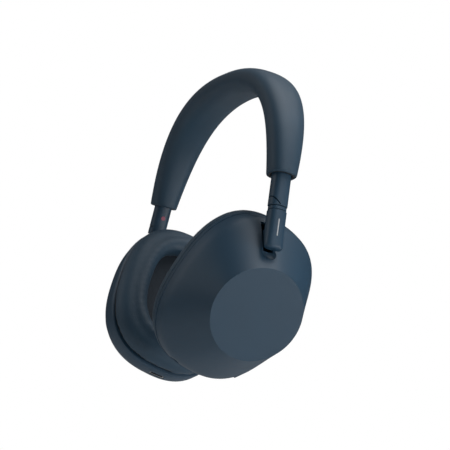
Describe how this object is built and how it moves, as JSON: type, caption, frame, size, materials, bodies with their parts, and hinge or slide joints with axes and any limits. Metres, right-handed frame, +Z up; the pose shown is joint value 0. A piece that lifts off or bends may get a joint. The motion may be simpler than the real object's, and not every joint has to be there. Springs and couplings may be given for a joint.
{
  "type": "over-ear headphones",
  "caption": "Wireless over-ear headphones: padded headband, sliding arms, swivelling and tilting yokes, and oval ear cups with soft cushions and flat round outer faces.",
  "frame": {"origin": "middle of the headband's padded underside, where a head or a stand holds the object up", "axes": "+Z up, +X to the wearer's left, -Y to the wearer's front; the headband lies in the XZ plane"},
  "size_m": [0.1714, 0.0763, 0.1693],
  "materials": {
    "leatherette": "soft matte, fine grain",
    "shell_plastic": "matte, slightly silky",
    "dark_plastic": "matte",
    "spring_steel": "brushed",
    "foam": "open foam",
    "mesh_cloth": "fine knit mesh",
    "driver_film": "thin film",
    "magnet": "plated",
    "board": "solder mask",
    "battery_wrap": "shrink wrap",
    "mark_red": "printed dot",
    "mark_grey": "printed dot",
    "socket_metal": "plated"
  },
  "bodies": {
    "headband": {"headband_cover": "leatherette", "headband_spring": "spring_steel", "headband_foam": "foam", "end_collar_left": "dark_plastic", "slider_guide_left": "dark_plastic", "end_collar_right": "dark_plastic", "slider_guide_right": "dark_plastic"},
    "arm_left": {"slider_arm_left": "shell_plastic", "slider_blade_left": "spring_steel", "side_mark_left": "mark_grey"},
    "yoke_left": {"yoke_left": "shell_plastic", "swivel_ring_left": "dark_plastic", "swivel_shaft_left": "spring_steel"},
    "cup_left": {"outer_shell_left": "shell_plastic", "inner_shell_left": "shell_plastic", "ear_cushion_left": "leatherette", "cushion_ring_left": "dark_plastic", "acoustic_cloth_left": "mesh_cloth", "trunnion_left": "dark_plastic", "tilt_pin_left": "spring_steel", "driver_frame_left": "dark_plastic", "driver_magnet_left": "magnet", "driver_dome_left": "driver_film", "circuit_board_left": "board", "baffle_screw_1_left": "spring_steel", "baffle_screw_2_left": "spring_steel", "baffle_screw_3_left": "spring_steel", "headphone_jack": "socket_metal"},
    "arm_right": {"slider_arm_right": "shell_plastic", "slider_blade_right": "spring_steel", "side_mark_right": "mark_red"},
    "yoke_right": {"yoke_right": "shell_plastic", "swivel_ring_right": "dark_plastic", "swivel_shaft_right": "spring_steel"},
    "cup_right": {"outer_shell_right": "shell_plastic", "inner_shell_right": "shell_plastic", "ear_cushion_right": "leatherette", "cushion_ring_right": "dark_plastic", "acoustic_cloth_right": "mesh_cloth", "trunnion_right": "dark_plastic", "tilt_pin_right": "spring_steel", "driver_frame_right": "dark_plastic", "driver_magnet_right": "magnet", "driver_dome_right": "driver_film", "circuit_board_right": "board", "baffle_screw_1_right": "spring_steel", "baffle_screw_2_right": "spring_steel", "baffle_screw_3_right": "spring_steel", "battery_right": "battery_wrap", "usb_socket": "socket_metal"},
    "power_button": {"power_button": "shell_plastic"},
    "mode_button": {"mode_button": "shell_plastic"}
  },
  "joints": [
    {"name": "arm_slide_left", "type": "slide", "parent": "headband", "child": "arm_left", "axis": [0.1409, 0, -0.99], "range_m": [-0.008, 0.02]},
    {"name": "yoke_swivel_left", "type": "hinge", "parent": "arm_left", "child": "yoke_left", "pos_m": [0.07827, 0, -0.07143], "axis": [-0.1409, 0, 0.99], "range_deg": [-10, 85]},
    {"name": "cup_tilt_left", "type": "hinge", "parent": "yoke_left", "child": "cup_left", "pos_m": [0.06224, -0.00036, -0.09008], "axis": [0.019, -0.9998, 0.0027], "range_deg": [0, 10]},
    {"name": "arm_slide_right", "type": "slide", "parent": "headband", "child": "arm_right", "axis": [-0.1409, 0, -0.99], "range_m": [-0.008, 0.02]},
    {"name": "yoke_swivel_right", "type": "hinge", "parent": "arm_right", "child": "yoke_right", "pos_m": [-0.07827, 0, -0.07143], "axis": [-0.1409, 0, -0.99], "range_deg": [-10, 85]},
    {"name": "cup_tilt_right", "type": "hinge", "parent": "yoke_right", "child": "cup_right", "pos_m": [-0.06224, 0.00058, -0.09008], "axis": [-0.0311, 0.9995, 0.0044], "range_deg": [0, 10]},
    {"name": "power_press", "type": "slide", "parent": "cup_left", "child": "power_button", "axis": [0.3172, -0.6461, 0.6942], "range_m": [0, 0.0006], "stiffness_N_per_m": 800},
    {"name": "mode_press", "type": "slide", "parent": "cup_left", "child": "mode_button", "axis": [0.204, -0.8814, 0.4261], "range_m": [0, 0.0006], "stiffness_N_per_m": 800}
  ]
}
